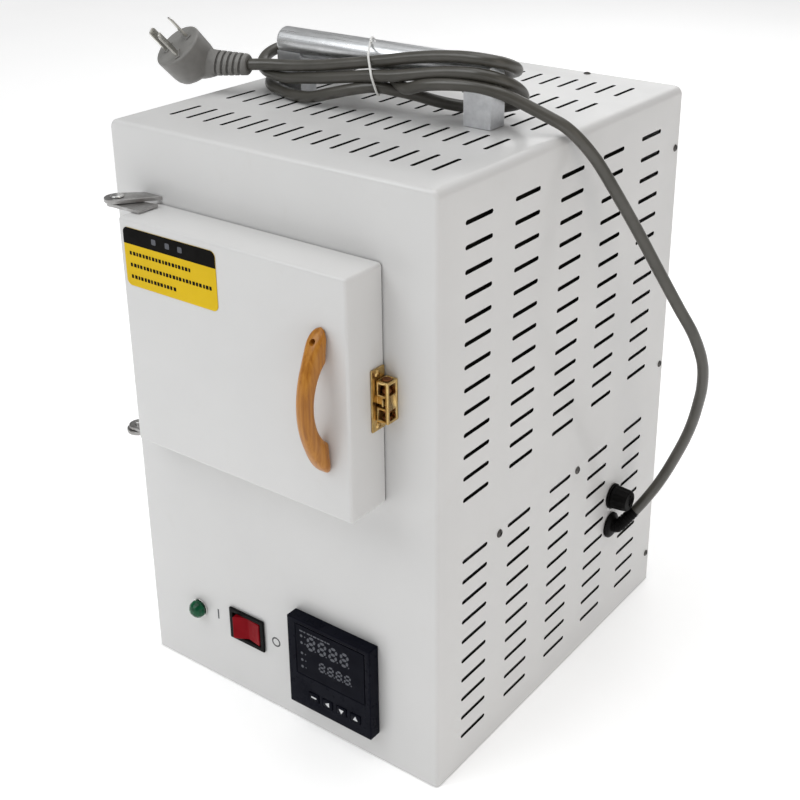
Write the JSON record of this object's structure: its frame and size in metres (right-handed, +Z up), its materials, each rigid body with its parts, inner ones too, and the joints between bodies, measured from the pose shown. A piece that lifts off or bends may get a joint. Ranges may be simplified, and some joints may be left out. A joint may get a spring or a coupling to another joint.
{
  "type": "pottery kiln",
  "caption": "Bench-top pottery kiln: slotted sheet-metal case, side-hinged front door with wooden pull, control panel below, roof handle with the mains cord folded on it.",
  "frame": {"origin": "centre of the case's footprint, on its underside", "axes": "+X to the right seen from the front, +Y towards the back, +Z up"},
  "size_m": [0.3666, 0.3541, 0.4698],
  "materials": {
    "case": "white powder coat, semi-gloss",
    "zinc_sheet": "zinc-plated sheet",
    "fibre": "ceramic fibre",
    "lining": "fired fibre board",
    "hearth": "fired clay",
    "heater_wire": "oxidised heating wire",
    "ceramic": "ceramic sheath",
    "chrome": "nickel plated",
    "brass": "brass",
    "wood": "varnished wood",
    "label": "printed yellow and black sticker",
    "black_plastic": "black moulded plastic",
    "controller": "glossy black plastic",
    "green_lens": "clear green plastic",
    "red_plastic": "red plastic",
    "grey_cord": "grey PVC",
    "aluminium": "satin aluminium",
    "white_plastic": "white plastic",
    "glass": "glass fuse tube"
  },
  "bodies": {
    "case": {"front_panel": "case", "top_panel": "case", "left_side_panel": "case", "right_side_panel": "case", "back_panel": "case", "base_panel": "zinc_sheet", "shelf_plate": "zinc_sheet", "shelf_screw_front": "zinc_sheet", "shelf_screw_rear": "zinc_sheet", "insulation_jacket": "fibre", "chamber_lining": "lining", "hearth_plate": "hearth", "heating_element_left": "heater_wire", "heating_element_right": "heater_wire", "thermocouple": "ceramic", "upper_hinge_bracket": "chrome", "lower_hinge_bracket": "chrome", "upper_hinge_pin": "chrome", "lower_hinge_pin": "chrome", "catch_housing": "brass", "plug_pin_live": "brass", "plug_pin_neutral": "brass", "plug_pin_earth": "brass", "pilot_lamp_body": "black_plastic", "switch_housing": "black_plastic", "solid_state_relay": "black_plastic", "fuse_holder": "black_plastic", "cord_gland": "black_plastic", "controller_housing": "controller", "controller_window": "controller", "pilot_lamp_lens": "green_lens", "mains_cord": "grey_cord", "cord_hank": "grey_cord", "plug_body": "grey_cord", "carry_handle_grip": "aluminium", "carry_post_left": "aluminium", "carry_post_right": "aluminium", "cord_tie": "white_plastic", "terminal_block": "white_plastic"},
    "door": {"door_shell": "case", "door_insulation": "fibre", "door_back_frame": "zinc_sheet", "door_handle": "wood", "caution_label": "label", "upper_hinge_leaf": "chrome", "lower_hinge_leaf": "chrome", "catch_strike": "brass", "strike_screw_upper": "brass", "strike_screw_lower": "brass"},
    "upper_ball": {"catch_ball_upper": "chrome"},
    "lower_ball": {"catch_ball_lower": "chrome"},
    "rocker": {"switch_rocker": "red_plastic"},
    "set_key": {"key_set": "controller"},
    "left_key": {"key_left": "controller"},
    "down_key": {"key_down": "controller"},
    "up_key": {"key_up": "controller"},
    "fuse_carrier": {"fuse_cap": "black_plastic", "fuse_link": "glass"}
  },
  "joints": [
    {"name": "door_hinge", "type": "hinge", "parent": "case", "child": "door", "pos_m": [-0.11, -0.1675, 0.287], "axis": [0, 0, -1], "range_deg": [0, 150]},
    {"name": "upper_ball_travel", "type": "slide", "parent": "case", "child": "upper_ball", "axis": [0, 0, 1], "range_m": [0, 0.0012], "stiffness_N_per_m": 900, "springref_m": -0.001},
    {"name": "lower_ball_travel", "type": "slide", "parent": "case", "child": "lower_ball", "axis": [0, 0, -1], "range_m": [0, 0.0012], "stiffness_N_per_m": 900, "springref_m": -0.001},
    {"name": "power_switch", "type": "hinge", "parent": "case", "child": "rocker", "pos_m": [-0.035, -0.1455, 0.0563], "axis": [0, 0, -1], "range_deg": [0, 20]},
    {"name": "set_key_press", "type": "slide", "parent": "case", "child": "set_key", "axis": [0, 1, 0], "range_m": [0, 0.0008], "stiffness_N_per_m": 400, "springref_m": -0.0006},
    {"name": "left_key_press", "type": "slide", "parent": "case", "child": "left_key", "axis": [0, 1, 0], "range_m": [0, 0.0008], "stiffness_N_per_m": 400, "springref_m": -0.0006},
    {"name": "down_key_press", "type": "slide", "parent": "case", "child": "down_key", "axis": [0, 1, 0], "range_m": [0, 0.0008], "stiffness_N_per_m": 400, "springref_m": -0.0006},
    {"name": "up_key_press", "type": "slide", "parent": "case", "child": "up_key", "axis": [0, 1, 0], "range_m": [0, 0.0008], "stiffness_N_per_m": 400, "springref_m": -0.0006},
    {"name": "fuse_withdraw", "type": "slide", "parent": "case", "child": "fuse_carrier", "axis": [1, 0, 0], "range_m": [0, 0.03]}
  ]
}
